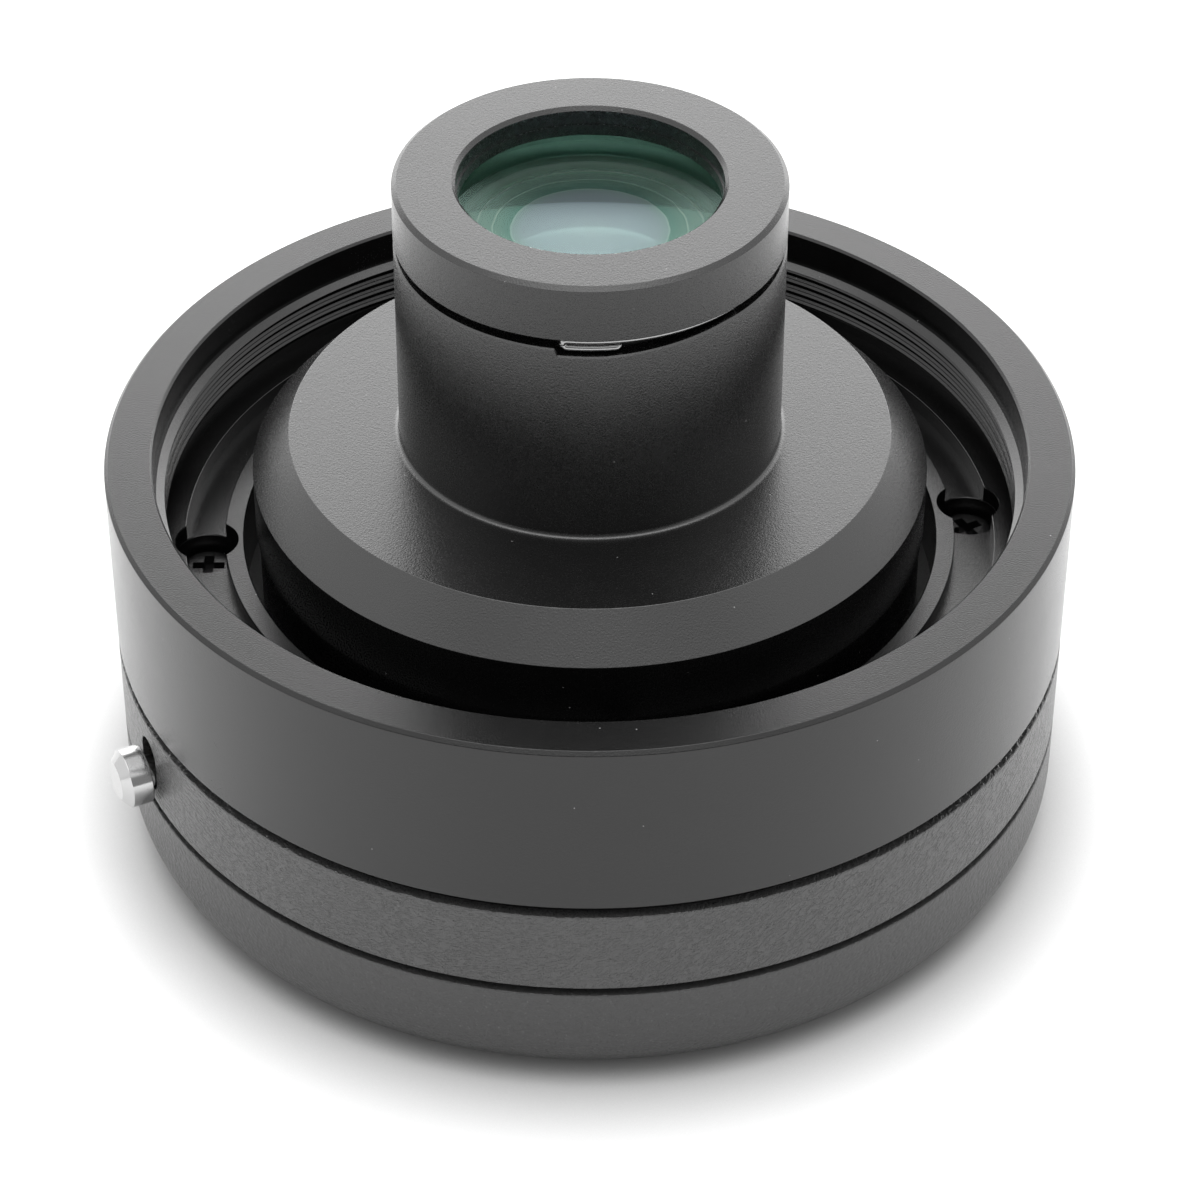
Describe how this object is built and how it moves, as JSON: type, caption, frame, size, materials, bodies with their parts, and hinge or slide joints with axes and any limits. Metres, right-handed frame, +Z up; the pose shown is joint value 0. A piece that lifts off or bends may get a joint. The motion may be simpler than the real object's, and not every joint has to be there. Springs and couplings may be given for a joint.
{
  "type": "teleconverter",
  "caption": "Short tele-extender for a spotting scope: lensed nose in a threaded rim, textured band with a lock pin, and a bayonet socket in the rounded foot.",
  "frame": {"origin": "on the optical axis, in the plane of the foot that the extender stands on", "axes": "+Z up along the optical axis towards the nose, -Y towards the viewer of the picture, +X to the viewer's right"},
  "size_m": [0.066, 0.066, 0.0499],
  "materials": {
    "cap_black": "satin",
    "nose_black": "satin",
    "rim_black": "satin",
    "body_black": "matte",
    "base_black": "matte",
    "retainer_black": "matte",
    "bayonet_metal": "satin",
    "band_grain": "matte",
    "seal_rubber": "matte",
    "screw_black": "satin",
    "spring_steel": "satin",
    "lever_steel": "polished",
    "slider_brass": "satin",
    "front_glass": "polished",
    "front_glass_inner": "polished",
    "rear_glass": "polished"
  },
  "bodies": {
    "converter": {"nose_cap": "cap_black", "nose_housing": "nose_black", "nose_spring_wire": "spring_steel", "front_lens": "front_glass", "front_lens_inner": "front_glass_inner", "front_lens_seal": "seal_rubber", "rear_lens": "rear_glass", "rear_lens_inner": "rear_glass", "rear_lens_retainer": "retainer_black", "rim_ring": "rim_black", "floor_screws": "screw_black", "rim_seal": "seal_rubber", "main_body": "body_black", "grip_band": "band_grain", "base_ring": "base_black", "bayonet_ring": "bayonet_metal", "bayonet_spring": "spring_steel", "bayonet_screws": "screw_black", "lock_spring": "spring_steel"},
    "lock": {"lock_slider": "slider_brass", "lock_lever": "lever_steel", "lock_tongue": "lever_steel"}
  },
  "joints": [
    {"name": "eyepiece_lock", "type": "slide", "parent": "converter", "child": "lock", "axis": [0, 0, 1], "range_m": [0, 0.0015], "stiffness_N_per_m": 300, "springref_m": -0.001, "deforming": ["lock_spring"]}
  ]
}
